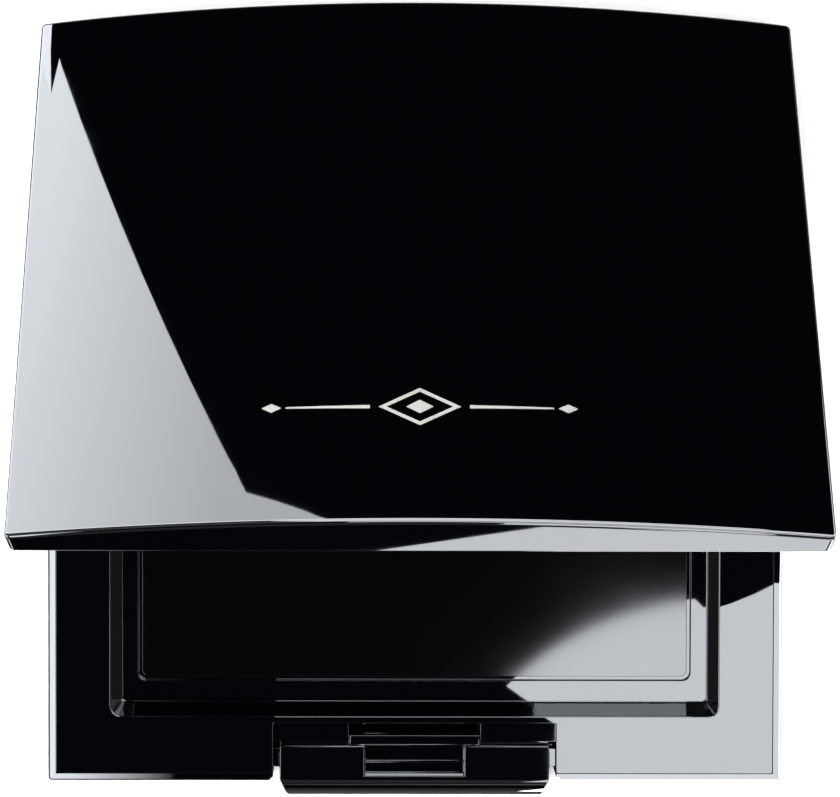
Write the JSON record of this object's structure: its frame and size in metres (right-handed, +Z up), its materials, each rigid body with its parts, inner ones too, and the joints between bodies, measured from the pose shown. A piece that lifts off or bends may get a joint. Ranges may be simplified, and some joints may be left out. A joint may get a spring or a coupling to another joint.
{
  "type": "powder compact",
  "caption": "Flat square pocket compact with a domed mirror lid on a rear hinge, a magnetic recess for powder pans and a sprung push-button latch.",
  "frame": {"origin": "centre of the flat underside of the base", "axes": "+Z up out of the base, -Y towards the push button at the front, +Y towards the hinge, +X to the right seen from the front"},
  "size_m": [0.0744, 0.0797, 0.0679],
  "materials": {
    "black_gloss": "high-gloss injection-moulded black",
    "black_satin": "fine satin moulded black",
    "adhesive_film": "thin acrylic transfer film",
    "foam_tape": "white foam tape",
    "magnet_rubber": "satin-faced ferrite rubber sheet",
    "pin_steel": "drawn and cut",
    "spring_steel": "drawn spring wire",
    "mirror": "silvered glass",
    "silver_foil": "hot-stamped silver foil"
  },
  "bodies": {
    "base": {"base_shell": "black_gloss", "base_tray": "black_gloss", "magnet_adhesive": "adhesive_film", "magnet_sheet": "magnet_rubber", "hinge_pin": "pin_steel", "button_spring_left": "spring_steel", "button_spring_right": "spring_steel"},
    "button": {"push_button": "black_gloss"},
    "lid": {"lid_shell": "black_gloss", "mirror_frame": "black_satin", "mirror_adhesive": "foam_tape", "mirror_glass": "mirror", "lid_ornament": "silver_foil"}
  },
  "joints": [
    {"name": "lid_hinge", "type": "hinge", "parent": "base", "child": "lid", "pos_m": [0, 0.0369, 0.00765], "axis": [-1, 0, 0], "range_deg": [-51.5, 63.5]},
    {"name": "button_press", "type": "slide", "parent": "base", "child": "button", "axis": [0, 1, 0], "range_m": [0, 0.0012], "stiffness_N_per_m": 2500, "springref_m": -0.0006, "deforming": ["button_spring_left", "button_spring_right"]}
  ]
}
